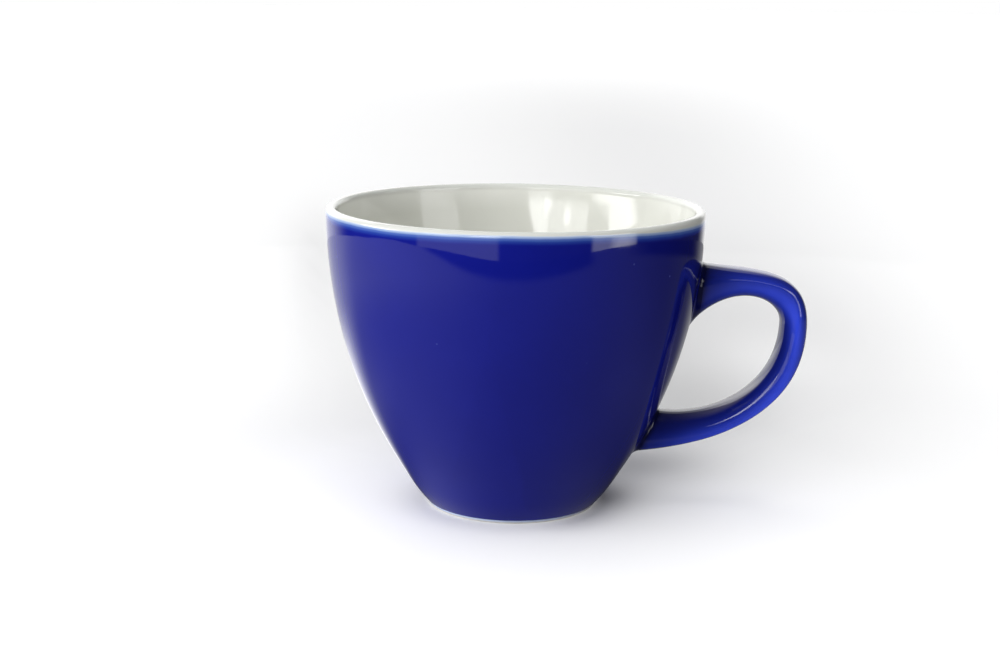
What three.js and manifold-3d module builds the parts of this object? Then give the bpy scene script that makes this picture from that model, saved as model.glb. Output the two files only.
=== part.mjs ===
import * as THREE from 'three';
import { mergeVertices } from 'three/addons/utils/BufferGeometryUtils.js';
import Module from 'manifold-3d';

// A glazed porcelain mug: a round cup that tapers to a small bare foot, with one ear-shaped handle.
// Millimetres, +Z up, standing on z = 0. The handle points along +X.

// Cup, measured on the glazed surfaces.
const CUP_HEIGHT = 79;
const RIM_RADIUS = 49;
const LIP = 2.8;
const LIP_TAPER = 30;
const TAPER_POWER = 1.6;
const FOOT_RADIUS = 22.7;
const FOOT_BARE = 1.2;
const WALL_AT_FOOT = 5.4;
const FLOOR = 4.8;
const FLOOR_FILLET = 7;

// The wall's curve: its lean from upright in degrees at each end, and how far each lean carries.
const WALL_LEAN_AT_FOOT = 38.7;
const WALL_LEAN_AT_RIM = 0.5;
const WALL_ARM_AT_FOOT = 27.7;
const WALL_ARM_AT_RIM = 28.5;

// Foot ring and the shallow recess inside it.
const FOOT_ROUND = 0.8;
const RECESS_DEPTH = 1.8;
const RING_WIDTH = 3.6;
const RECESS_FLARE = 0.9;

// Glaze coats and the clearance between one fired layer and the next.
const COAT = 0.4;
const GAP = 0.15;
const LIP_WHITE = 1.5;

// Handle roots on the wall: the upper one hangs from the rim, the lower one stands on the table.
const UPPER_ROOT_DROP = 14.3;
const UPPER_ROOT_HEIGHT = 16.4;
const UPPER_ROOT_WIDTH = 16;
const LOWER_ROOT_RISE = 14.2;
const LOWER_ROOT_HEIGHT = 11.2;
const LOWER_ROOT_WIDTH = 16;
const ROOT_FLARE = 9;

// Handle bar. The knee is the furthest point; its share runs up the handle from root to root.
const HANDLE_REACH = 27.6;
const HANDLE_BAR = 6.9;
const HANDLE_WIDTH = 13.5;
const KNEE_SHARE = 0.67;
const FINGER_KNEE_LIFT = 1;
const SECTION_POWER = 2;
const FINGER_FACE_POWER = 2.6;
const RIDGE_POWER = 1.7;
const RIDGE_SHIFT = 0.2;
const FINGER_LEAD = 0.62;

// Slope in degrees of each guide edge where it leaves the wall.
const BACK_SLOPE_UPPER = -7;
const BACK_SLOPE_LOWER = 5.2;
const FINGER_SLOPE_UPPER = 49.6;
const FINGER_SLOPE_LOWER = -12.4;

// Fullness of the guide edges, as shares of the run they bridge.
const BACK_FULL_TOP = 0.6;
const BACK_FULL_SHOULDER = 0.94;
const BACK_FULL_SIDE = 0.54;
const BACK_FULL_BOTTOM = 0.69;
const FINGER_FULL_TOP = 0.71;
const FINGER_FULL_SHOULDER = 0.285;
const FINGER_FULL_SIDE = 0.88;
const FINGER_FULL_BOTTOM = 0.337;

// Luting beads that join the handle to the wall.
const BEAD_RISE = 0.7;
const BEAD_FOOT = 1.1;
const BEAD_CREST = 0.35;
const BEAD_CLEARANCE = 0.3;

// Fineness of the surfaces.
const AROUND = 48;
const WALL_STEPS = 9;
const LIP_STEPS = 6;
const FILLET_STEPS = 4;
const SHOULDER_RINGS = 14;
const SIDE_RINGS = 14;
const SIDES = 20;
const CAP_SHARES = [0.72, 0.38];

const wasm = await Module();
wasm.setup();

const BLUE_GLAZE = new THREE.MeshStandardMaterial({ color: 0x20239a, roughness: 0.08, metalness: 0 });
const POOLED_GLAZE = new THREE.MeshStandardMaterial({ color: 0x0a1055, roughness: 0.1, metalness: 0 });
const WHITE_GLAZE = new THREE.MeshStandardMaterial({ color: 0xe8e6dc, roughness: 0.1, metalness: 0 });
const PORCELAIN = new THREE.MeshStandardMaterial({ color: 0xf0ece2, roughness: 0.65, metalness: 0 });

// Section of the cup. A station is a point of the glazed surface with the direction that leaves the clay.

const leaning = (degrees) => {
  const angle = THREE.MathUtils.degToRad(degrees);
  return new THREE.Vector2(Math.sin(angle), Math.cos(angle));
};

const wallFoot = new THREE.Vector2(FOOT_RADIUS, FOOT_BARE);
const wallBrow = new THREE.Vector2(RIM_RADIUS, CUP_HEIGHT - LIP / 2);
const wallCurve = new THREE.CubicBezierCurve(
  wallFoot,
  wallFoot.clone().addScaledVector(leaning(WALL_LEAN_AT_FOOT), WALL_ARM_AT_FOOT),
  wallBrow.clone().addScaledVector(leaning(WALL_LEAN_AT_RIM), -WALL_ARM_AT_RIM),
  wallBrow,
);
const floorHeight = RECESS_DEPTH + FLOOR;

function outsideStation(t) {
  const tangent = wallCurve.getTangent(t);
  return { point: wallCurve.getPoint(t), normal: new THREE.Vector2(tangent.y, -tangent.x) };
}

// The wall keeps one thickness up to the taper, and thins from there to the lip.
function insideStation(t) {
  const { point, normal } = outsideStation(t);
  const drop = THREE.MathUtils.clamp((wallBrow.y - point.y) / LIP_TAPER, 0, 1);
  const thickness = THREE.MathUtils.lerp(WALL_AT_FOOT, LIP, (1 - drop) ** TAPER_POWER);
  return { point: point.addScaledVector(normal, -thickness), normal: normal.negate() };
}

function solve(height, heightAt) {
  let low = 0;
  let high = 1;
  for (let i = 0; i < 40; i += 1) {
    const middle = (low + high) / 2;
    if (heightAt(middle) < height) low = middle;
    else high = middle;
  }
  return (low + high) / 2;
}

function wallRadius(height) {
  return wallCurve.getPoint(solve(height, (t) => wallCurve.getPoint(t).y)).x;
}

function steps(count, make) {
  return Array.from({ length: count + 1 }, (_, i) => make(i / count));
}

function lipStation(share) {
  const angle = Math.PI * share;
  const normal = new THREE.Vector2(Math.cos(angle), Math.sin(angle));
  const point = new THREE.Vector2(RIM_RADIUS - LIP / 2, CUP_HEIGHT - LIP / 2);
  return { point: point.addScaledVector(normal, LIP / 2), normal };
}

// The inside runs down the wall, round a fillet and over the floor to the axis.
const filletTop = solve(floorHeight + FLOOR_FILLET, (t) => insideStation(t).point.y);
const filletStart = insideStation(filletTop);
const downWall = new THREE.Vector2(-filletStart.normal.y, filletStart.normal.x);
const filletReach = (filletStart.point.y - floorHeight) / -downWall.y;
const filletCorner = filletStart.point.clone().addScaledVector(downWall, filletReach);
const filletCurve = new THREE.QuadraticBezierCurve(
  filletStart.point,
  filletCorner,
  new THREE.Vector2(filletCorner.x - filletReach, floorHeight),
);

function filletStation(share) {
  const tangent = filletCurve.getTangent(share);
  return { point: filletCurve.getPoint(share), normal: new THREE.Vector2(tangent.y, -tangent.x) };
}

const outside = steps(WALL_STEPS, outsideStation);
const lip = steps(LIP_STEPS, lipStation).slice(1, -1);
const inside = [
  ...steps(WALL_STEPS, (share) => insideStation(THREE.MathUtils.lerp(1, filletTop, share))).slice(0, -1),
  ...steps(FILLET_STEPS, filletStation),
  { point: new THREE.Vector2(0, floorHeight), normal: new THREE.Vector2(0, 1) },
];

// The white coat comes over the lip to this height outside, where the blue coat begins.
const coatsMeet = solve(CUP_HEIGHT - LIP_WHITE, (t) => wallCurve.getPoint(t).y);
const blueEdge = solve(CUP_HEIGHT - LIP_WHITE - GAP, (t) => wallCurve.getPoint(t).y);

function inset(stations, depth) {
  return stations.map(({ point, normal }) => point.clone().addScaledVector(normal, -depth));
}

function revolve(profile) {
  const geometry = new THREE.LatheGeometry(profile, AROUND);
  geometry.rotateX(Math.PI / 2);
  return geometry;
}

// Clay of the cup: recess, foot ring, wall, lip, inside and floor.
const clayDepth = COAT + GAP;
const footClay = FOOT_RADIUS - clayDepth;
const recessRadius = footClay - FOOT_ROUND - RING_WIDTH;
const footProfile = [
  new THREE.Vector2(0, RECESS_DEPTH),
  new THREE.Vector2(recessRadius - RECESS_FLARE, RECESS_DEPTH),
  new THREE.Vector2(recessRadius, 0),
  new THREE.Vector2(footClay - FOOT_ROUND, 0),
  new THREE.Vector2(footClay - FOOT_ROUND * (1 - Math.SQRT1_2), FOOT_ROUND * (1 - Math.SQRT1_2)),
];
const clayProfile = [...footProfile, ...inset([...outside, ...lip, ...inside], clayDepth)];
const cupGeometry = revolve(clayProfile);

// White coat: from the floor's middle up the inside, over the lip and down to the blue edge.
const whiteStations = [outsideStation(coatsMeet), outsideStation(1), ...lip, ...inside];
const insideCoatGeometry = revolve([
  ...inset(whiteStations, COAT).reverse(),
  ...inset(whiteStations, 0),
]);

// White coat of the recess, a thin dish under the floor.
const dishRadius = recessRadius - RECESS_FLARE - GAP;
const recessCoatGeometry = revolve([
  new THREE.Vector2(0, RECESS_DEPTH - GAP - COAT),
  new THREE.Vector2(dishRadius - COAT, RECESS_DEPTH - GAP - COAT),
  new THREE.Vector2(dishRadius, RECESS_DEPTH - GAP),
  new THREE.Vector2(0, RECESS_DEPTH - GAP),
]);

// Handle: a loft of oval rings between a back edge and a finger edge that both start on the wall.

const onWall = (height) => new THREE.Vector2(wallRadius(height), height);
const sloping = (degrees) => {
  const angle = THREE.MathUtils.degToRad(degrees);
  return new THREE.Vector2(Math.cos(angle), Math.sin(angle));
};

const upperTop = CUP_HEIGHT - UPPER_ROOT_DROP;
const lowerBottom = LOWER_ROOT_RISE;
const kneeHeight = THREE.MathUtils.lerp(lowerBottom, upperTop, KNEE_SHARE);

function guideEdge(start, startSlope, knee, end, endSlope, full) {
  const rise = new THREE.Vector2(0, full.shoulder);
  const fall = new THREE.Vector2(0, -full.side * (knee.y - end.y));
  return [
    new THREE.CubicBezierCurve(
      start,
      start.clone().addScaledVector(sloping(startSlope), full.top * (knee.x - start.x)),
      knee.clone().add(rise),
      knee,
    ),
    new THREE.CubicBezierCurve(
      knee,
      knee.clone().add(fall),
      end.clone().addScaledVector(sloping(endSlope), full.bottom * (knee.x - end.x)),
      end,
    ),
  ];
}

const backKnee = new THREE.Vector2(RIM_RADIUS + HANDLE_REACH, kneeHeight);
const fingerKnee = new THREE.Vector2(backKnee.x - HANDLE_BAR, kneeHeight + FINGER_KNEE_LIFT);
const backStart = onWall(upperTop);
const fingerStart = onWall(upperTop - UPPER_ROOT_HEIGHT);
const backEdge = guideEdge(
  backStart,
  BACK_SLOPE_UPPER,
  backKnee,
  onWall(lowerBottom),
  BACK_SLOPE_LOWER,
  {
    top: BACK_FULL_TOP,
    shoulder: BACK_FULL_SHOULDER * (backStart.y - backKnee.y),
    side: BACK_FULL_SIDE,
    bottom: BACK_FULL_BOTTOM,
  },
);
const fingerEdge = guideEdge(
  fingerStart,
  FINGER_SLOPE_UPPER,
  fingerKnee,
  onWall(lowerBottom + LOWER_ROOT_HEIGHT),
  FINGER_SLOPE_LOWER,
  {
    top: FINGER_FULL_TOP,
    shoulder: FINGER_FULL_SHOULDER * (fingerKnee.x - fingerStart.x),
    side: FINGER_FULL_SIDE,
    bottom: FINGER_FULL_BOTTOM,
  },
);

function flareAt(distance) {
  return Math.exp(-((distance / ROOT_FLARE) ** 2));
}

// Near the upper root the finger edge runs ahead, so that each ring crosses the bar squarely.
function barStation(piece, share) {
  const back = backEdge[piece].getPointAt(share);
  const finger = fingerEdge[piece].getPointAt(piece === 0 ? share ** FINGER_LEAD : share);
  const length = (backEdge[piece].getLength() + fingerEdge[piece].getLength()) / 2;
  const fromRoot = (piece === 0 ? share : 1 - share) * length;
  const rootWidth = piece === 0 ? UPPER_ROOT_WIDTH : LOWER_ROOT_WIDTH;
  const width = THREE.MathUtils.lerp(HANDLE_WIDTH, rootWidth, flareAt(fromRoot));
  return { back, finger, halfWidth: width / 2 };
}

const barStations = [
  ...steps(SHOULDER_RINGS, (share) => barStation(0, share)),
  ...steps(SIDE_RINGS, (share) => barStation(1, share)).slice(1),
];

const oval = (value, power) => Math.sign(value) * Math.abs(value) ** (2 / power);

// An oval ring in the station's plane, grown outwards by a thickness. It is flatter towards the
// fingers than on the back, with a soft ridge on each face.
function ring({ back, finger, halfWidth }, grow) {
  const middle = back.clone().lerp(finger, 0.5);
  const half = back.clone().sub(finger).multiplyScalar(0.5);
  const stretch = 1 + grow / half.length();
  return Array.from({ length: SIDES }, (_, j) => {
    const angle = (-2 * Math.PI * j) / SIDES;
    const across = oval(Math.sin(angle), Math.cos(angle) < 0 ? FINGER_FACE_POWER : SECTION_POWER);
    const along = (oval(Math.cos(angle), RIDGE_POWER) + RIDGE_SHIFT * across ** 2) * stretch;
    return new THREE.Vector3(
      middle.x + half.x * along,
      across * (halfWidth + grow),
      middle.y + half.y * along,
    );
  });
}

// Slides points along X to the wall, standing off it by a lift.
function seated(points, lift) {
  return points.map(({ y, z }) => {
    const radius = wallRadius(z) + lift;
    return new THREE.Vector3(Math.sqrt(radius * radius - y * y), y, z);
  });
}

function shrunk(points, share) {
  const middle = new THREE.Vector3();
  points.forEach((point) => middle.addScaledVector(point, 1 / points.length));
  return points.map((point) => middle.clone().lerp(point, share));
}

// Rings that close a root's face along the wall, from its middle out to the outline.
function seatFace(outline, lift) {
  const middle = shrunk(outline, 0).slice(0, 1);
  const rings = [middle, ...CAP_SHARES.toReversed().map((share) => shrunk(outline, share)), outline];
  return rings.map((points) => seated(points, lift));
}

function loft(rings, closed = false) {
  const starts = [];
  const positions = [];
  rings.forEach((points) => {
    starts.push(positions.length / 3);
    points.forEach((point) => positions.push(point.x, point.y, point.z));
  });
  const index = [];
  const spans = closed ? rings.length : rings.length - 1;
  for (let i = 0; i < spans; i += 1) {
    const k = (i + 1) % rings.length;
    for (let j = 0; j < SIDES; j += 1) {
      const next = (j + 1) % SIDES;
      const a = starts[i] + (rings[i].length > 1 ? j : 0);
      const b = starts[i] + (rings[i].length > 1 ? next : 0);
      const c = starts[k] + (rings[k].length > 1 ? next : 0);
      const d = starts[k] + (rings[k].length > 1 ? j : 0);
      if (rings[i].length > 1) index.push(a, b, c);
      if (rings[k].length > 1) index.push(a, c, d);
    }
  }
  const geometry = new THREE.BufferGeometry();
  geometry.setAttribute('position', new THREE.Float32BufferAttribute(positions, 3));
  geometry.setIndex(index);
  geometry.computeVertexNormals();
  return geometry;
}

const handleLift = BEAD_RISE + GAP;
const barMiddle = barStations.slice(1, -1);
const upperRoot = barStations.at(0);
const lowerRoot = barStations.at(-1);

// Clay of the handle, whose two end faces follow the wall.
const handleGeometry = loft([
  ...seatFace(ring(upperRoot, -clayDepth), handleLift),
  ...barMiddle.map((station) => ring(station, -clayDepth)),
  ...seatFace(ring(lowerRoot, -clayDepth), handleLift).reverse(),
]);

// Blue coat of the handle, a sleeve that is open at both roots.
const sleeve = (grow) => [
  seated(ring(upperRoot, grow), handleLift),
  ...barMiddle.map((station) => ring(station, grow)),
  seated(ring(lowerRoot, grow), handleLift),
];
const handleCoatGeometry = loft([...sleeve(0), ...sleeve(-COAT).reverse()], true);

// Luting beads: pads of slip that stand on the bare wall and spread a little past the root.
function pad(root, growAtWall, growAtCrest, bottom, top) {
  const layers = [
    ...seatFace(ring(root, growAtWall), bottom),
    ...seatFace(ring(root, growAtCrest), top).reverse(),
  ];
  return loft(root === upperRoot ? layers : layers.reverse());
}

const padBottom = GAP - clayDepth;
const upperBeadGeometry = pad(upperRoot, BEAD_FOOT, BEAD_CREST, padBottom, BEAD_RISE);
const lowerBeadGeometry = pad(lowerRoot, BEAD_FOOT, BEAD_CREST, padBottom, BEAD_RISE);

// Blue coat of the wall, with a window round each bead.

function toSolid(geometry) {
  const bare = new THREE.BufferGeometry();
  bare.setAttribute('position', geometry.getAttribute('position').clone());
  bare.setIndex(geometry.getIndex().clone());
  const merged = mergeVertices(bare, 1e-4);
  const corners = merged.getIndex().array;
  const kept = [];
  for (let i = 0; i < corners.length; i += 3) {
    const [a, b, c] = corners.slice(i, i + 3);
    if (a !== b && b !== c && c !== a) kept.push(a, b, c);
  }
  const mesh = new wasm.Mesh({
    numProp: 3,
    vertProperties: new Float32Array(merged.getAttribute('position').array),
    triVerts: new Uint32Array(kept),
  });
  return new wasm.Manifold(mesh);
}

function toGeometry(solid) {
  const mesh = solid.getMesh();
  const geometry = new THREE.BufferGeometry();
  geometry.setAttribute('position', new THREE.BufferAttribute(new Float32Array(mesh.vertProperties), 3));
  geometry.setIndex(new THREE.BufferAttribute(new Uint32Array(mesh.triVerts), 1));
  geometry.computeVertexNormals();
  return geometry;
}

const blueStations = steps(WALL_STEPS, (share) => outsideStation(blueEdge * share));
const blueLoop = [...inset(blueStations, 0), ...inset(blueStations, COAT).reverse()];
const blueShell = toSolid(revolve([...blueLoop, blueLoop[0].clone()]));
const windowGrow = BEAD_FOOT + BEAD_CLEARANCE;
const windowDepth = 2 * clayDepth;
const upperWindow = toSolid(pad(upperRoot, windowGrow, windowGrow, -windowDepth, windowDepth));
const lowerWindow = toSolid(pad(lowerRoot, windowGrow, windowGrow, -windowDepth, windowDepth));
const wallCoatGeometry = toGeometry(blueShell.subtract(upperWindow).subtract(lowerWindow));

// Assembly.

function piece(name, geometry, material) {
  const mesh = new THREE.Mesh(geometry, material.clone());
  mesh.name = name;
  return mesh;
}

const cup = new THREE.Group();
cup.add(
  piece('cup_body', cupGeometry, PORCELAIN),
  piece('inside_glaze', insideCoatGeometry, WHITE_GLAZE),
  piece('wall_glaze', wallCoatGeometry, BLUE_GLAZE),
  piece('recess_glaze', recessCoatGeometry, WHITE_GLAZE),
);

const ear = new THREE.Group();
ear.add(
  piece('handle', handleGeometry, PORCELAIN),
  piece('handle_glaze', handleCoatGeometry, BLUE_GLAZE),
  piece('upper_bead', upperBeadGeometry, POOLED_GLAZE),
  piece('lower_bead', lowerBeadGeometry, POOLED_GLAZE),
);

const mug = new THREE.Group();
mug.add(cup, ear);

// The origin is the middle of the mug's footprint, on the table.
const extent = new THREE.Box3().setFromObject(mug);
mug.position.x = -(extent.min.x + extent.max.x) / 2;

export default mug;
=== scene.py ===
"""A blue-glazed porcelain mug on a pale table, seen by soft daylight from the left.

The mug's sizes are in millimetres round the cup's axis, with the handle along +X, as a potter would
draw it. Meshes are in metres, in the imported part's own frame, and finishes count in metres in it.
"""

import logging
import math
from dataclasses import dataclass, field
from enum import Enum

import bpy
import numpy as np
from mathutils import Matrix, Vector


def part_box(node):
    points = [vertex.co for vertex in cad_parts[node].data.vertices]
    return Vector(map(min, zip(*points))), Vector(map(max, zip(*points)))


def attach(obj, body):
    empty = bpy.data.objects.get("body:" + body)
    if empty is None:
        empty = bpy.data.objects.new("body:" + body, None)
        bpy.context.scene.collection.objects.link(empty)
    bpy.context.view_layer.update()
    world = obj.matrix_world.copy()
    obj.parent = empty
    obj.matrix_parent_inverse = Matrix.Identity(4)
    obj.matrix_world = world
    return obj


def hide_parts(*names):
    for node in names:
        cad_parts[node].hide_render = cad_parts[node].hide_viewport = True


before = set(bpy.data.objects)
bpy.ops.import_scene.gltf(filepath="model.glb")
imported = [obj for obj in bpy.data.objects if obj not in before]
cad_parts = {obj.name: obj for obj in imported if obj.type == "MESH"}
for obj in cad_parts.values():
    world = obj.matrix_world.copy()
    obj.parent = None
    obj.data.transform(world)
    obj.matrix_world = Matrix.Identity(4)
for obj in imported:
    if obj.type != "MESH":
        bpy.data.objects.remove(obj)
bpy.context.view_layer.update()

LOG = logging.getLogger("mug")
MM = 0.001
BODY = "root"
IMAGE_WIDTH = 1000
SENSOR_WIDTH = 36.0
SHARP_ANGLE = math.radians(38.0)
CURVE_SAMPLES = 1200
SPECK_CORE = 0.4
VIEW_DISTANCE = 430.0
# The mix node's two inputs and one output that carry colours
MIX_FIRST, MIX_SECOND, MIX_RESULT = 6, 7, 2
# Limits that every bearing and every distance from the axis lie within
NO_END = (200.0, 190.0)
ANY_REACH = (-2.0, -1.0)

Points = np.ndarray
Colour = tuple[float, float, float]
Place = tuple[float, float, float]
Span = tuple[float, float]
Shares = tuple[float, float, float, float]
Run = tuple[float, float, int]
Stops = tuple[tuple[float, Colour], ...]
Socket = bpy.types.NodeSocket
Piece = bpy.types.Object
Material = bpy.types.Material
Value = Socket | Colour | float


class Closing(Enum):
    """How a stack of rings is shut at its two ends."""

    LOOP = "the last ring joins the first"
    FANS = "each end ring shuts on its own middle"
    OPEN = "the end rings stay open"


class Root(Enum):
    """The two places where the handle meets the wall."""

    UPPER = 0
    LOWER = 1


def smoothstep(between: tuple[float | Points, float | Points], value: Points) -> Points:
    """Rises from 0 at the first limit to 1 at the second along 3s^2 - 2s^3."""
    share = np.clip((value - between[0]) / (between[1] - between[0]), 0.0, 1.0)
    return share * share * (3.0 - 2.0 * share)


def bell(offset: Points, width: float | Points) -> Points:
    """A bell curve: e to the power of -(offset / width)^2."""
    return np.exp(-((offset / width) ** 2))


@dataclass(frozen=True)
class Drift:
    """A value that goes from one level to another between two places."""

    start: float
    end: float
    low: float
    high: float

    def at(self, place: Points) -> Points:
        """The value at a place, eased along a smoothstep."""
        return self.start + (self.end - self.start) * smoothstep((self.low, self.high), place)


def unit(rows: Points) -> Points:
    """Rows of coordinates brought to length 1."""
    return rows / np.linalg.norm(rows, axis=1, keepdims=True)


def clockwise(rows: Points) -> Points:
    """Rows of two coordinates turned clockwise by a quarter."""
    return np.stack([rows[:, 1], -rows[:, 0]], axis=1)


@dataclass(frozen=True)
class Curve:
    """A cubic Bezier curve in the plane of radius and height, by its four corners."""

    corners: Points

    def points(self, t: Points) -> Points:
        """Points of the curve: its corners weighted by the Bernstein polynomials of t."""
        s, t = 1.0 - t[:, None], t[:, None]
        return np.hstack([s**3, 3 * t * s**2, 3 * t**2 * s, t**3]) @ self.corners

    def tangents(self, t: Points) -> Points:
        """Unit tangents: the steps between its corners weighted by the quadratic polynomials of t."""
        s, t = 1.0 - t[:, None], t[:, None]
        return unit(np.hstack([s**2, 2 * t * s, t**2]) @ np.diff(self.corners, axis=0))

    def normals(self, t: Points) -> Points:
        """Unit normals, a quarter turn clockwise from the tangents."""
        return clockwise(self.tangents(t))

    def sampled(self) -> tuple[Points, Points]:
        """Fine points of the curve and their distances along it."""
        fine = self.points(np.linspace(0.0, 1.0, CURVE_SAMPLES))
        return fine, np.concatenate([[0.0], np.cumsum(np.linalg.norm(np.diff(fine, axis=0), axis=1))])

    def along(self, shares: Points) -> Points:
        """Points at given shares of the curve's length, read between its fine points."""
        fine, run = self.sampled()
        return np.stack([np.interp(shares * run[-1], run, fine[:, k]) for k in range(2)], axis=1)

    def length(self) -> float:
        """The curve's length, summed over fine chords."""
        return float(self.sampled()[1][-1])


def quadratic(start: Points, corner: Points, end: Points, s: Points) -> Points:
    """Points of a quadratic curve, which leaves start towards corner and comes to end from it."""
    return (1 - s) ** 2 * start + 2 * s * (1 - s) * corner + s**2 * end


def leaning(degrees: float) -> Points:
    """Unit step in (radius, height) that leans outwards from upright."""
    return sloping(90.0 - degrees)


def sloping(degrees: float) -> Points:
    """Unit step in (radius, height) that rises from level."""
    angle = math.radians(degrees)
    return np.array([math.cos(angle), math.sin(angle)])


def level_line(radii: Points, height: float) -> Points:
    """Section points in a row at one height."""
    return np.stack([radii, np.full(len(radii), height)], axis=1)


def arc(middle: Span, radius: float, turn: Span, count: int) -> Points:
    """Section points on part of a circle, between two angles in degrees from outwards."""
    angle = np.radians(np.linspace(*turn, count))
    return np.array(middle) + radius * np.stack([np.cos(angle), np.sin(angle)], axis=1)


def revolve(profile: Points, around: int) -> Points:
    """Rings swept by a section turned about the axis: (r, z) goes to (r cos a, r sin a, z).

    Args:
        profile: Section points as rows of radius and height.
        around: Number of points on each ring.

    Returns:
        Grid of points, one ring for each row of the profile.
    """
    angle = np.linspace(0.0, 2.0 * np.pi, around, endpoint=False)
    radius, height = profile[:, :1], profile[:, 1:]
    level = np.broadcast_to(height, (len(profile), around))
    return np.stack([radius * np.cos(angle), radius * np.sin(angle), level], axis=-1)


@dataclass(frozen=True)
class Disc:
    """A flat disc at a level: runs of ring radii, by first, last and count, and points round it."""

    runs: tuple[Run, ...]
    around: int
    level: float = 0.0

    def rings(self) -> Points:
        """Grid of points, one ring for each radius."""
        radii = np.concatenate([np.linspace(*run) for run in self.runs])
        return revolve(level_line(radii, self.level), self.around)


def enclosed_volume(points: Points, triangles: Points) -> float:
    """Signed volume inside a closed skin: a sixth of each triangle's box product with the origin."""
    a, b, c = (points[triangles[:, k]] for k in range(3))
    return float(np.einsum("ij,ij->i", a, np.cross(b, c)).sum() / 6.0)


def axis_offset() -> Points:
    """Place of the cup's axis on the table, in metres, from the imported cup."""
    low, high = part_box("cup_body")
    return np.array([(low.x + high.x) / 2.0, (low.y + high.y) / 2.0, 0.0])


def skin(name: str, rings: Points, closing: Closing, marks: dict[str, Points] | None = None) -> Piece:
    """Joins rings of points into one mesh whose faces point outwards.

    Grid point (i, j) joins (i+1, j), (i+1, j+1) and (i, j+1) in a quad, with j running round the
    ring. The mesh is turned the right way by the sign of the volume that it encloses.

    Args:
        name: Name of the piece.
        rings: Grid of points in millimetres from the cup's axis.
        closing: How the first and last rings are shut.
        marks: Named values at the grid's points, for the finish to read.

    Returns:
        The new object, at the origin, linked to the scene.
    """
    rows, columns, _ = rings.shape
    points = rings.reshape(-1, 3)
    index = np.arange(rows * columns).reshape(rows, columns)
    here = index if closing is Closing.LOOP else index[:-1]
    there = np.roll(index, -1, axis=0) if closing is Closing.LOOP else index[1:]
    corners = [here, there, np.roll(there, -1, axis=1), np.roll(here, -1, axis=1)]
    quads = np.stack(corners, axis=-1).reshape(-1, 4)
    fans = np.empty((0, 3), int)
    if closing is Closing.FANS:
        head, tail = np.full(columns, rows * columns), np.full(columns, rows * columns + 1)
        points = np.vstack([points, rings[[0, -1]].mean(axis=1)])
        first = np.stack([head, index[0], np.roll(index[0], -1)], axis=1)
        last = np.stack([tail, np.roll(index[-1], -1), index[-1]], axis=1)
        fans = np.vstack([first, last])
    triangles = np.vstack([quads[:, [0, 1, 2]], quads[:, [0, 2, 3]], fans])
    if closing is not Closing.OPEN and enclosed_volume(points, triangles) < 0.0:
        quads, fans = quads[:, ::-1], fans[:, ::-1]
    mesh = bpy.data.meshes.new(name)
    mesh.from_pydata((points * MM + axis_offset()).tolist(), [], quads.tolist() + fans.tolist())
    mesh.polygons.foreach_set("use_smooth", np.ones(len(mesh.polygons), bool))
    for mark, values in (marks or {}).items():
        grid = np.broadcast_to(values, (rows, columns))
        ends = grid[[0, -1]].mean(axis=1) if closing is Closing.FANS else []
        layer = mesh.attributes.new(mark, "FLOAT", "POINT")
        layer.data.foreach_set("value", np.concatenate([grid.reshape(-1), ends]).astype(np.float32))
    mesh.update()
    mesh.set_sharp_from_angle(angle=SHARP_ANGLE)
    made = bpy.data.objects.new(name, mesh)
    bpy.context.scene.collection.objects.link(made)
    return made


def settle(piece: Piece, finish: Material, slot: str, *nodes: str) -> None:
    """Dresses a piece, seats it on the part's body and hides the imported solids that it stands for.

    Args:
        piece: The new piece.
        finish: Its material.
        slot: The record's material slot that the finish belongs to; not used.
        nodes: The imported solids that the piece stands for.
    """
    piece.data.materials.append(finish)
    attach(piece, BODY)
    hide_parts(*nodes)
    LOG.info("%s: %d faces", piece.name, len(piece.data.polygons))


@dataclass(frozen=True)
class Noise:
    """A soft random pattern: features per metre, detail, roughness and the levels that are drawn out."""

    scale: float
    detail: float = 2.0
    rough: float = 0.5
    levels: Span = (0.3, 0.7)


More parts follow.
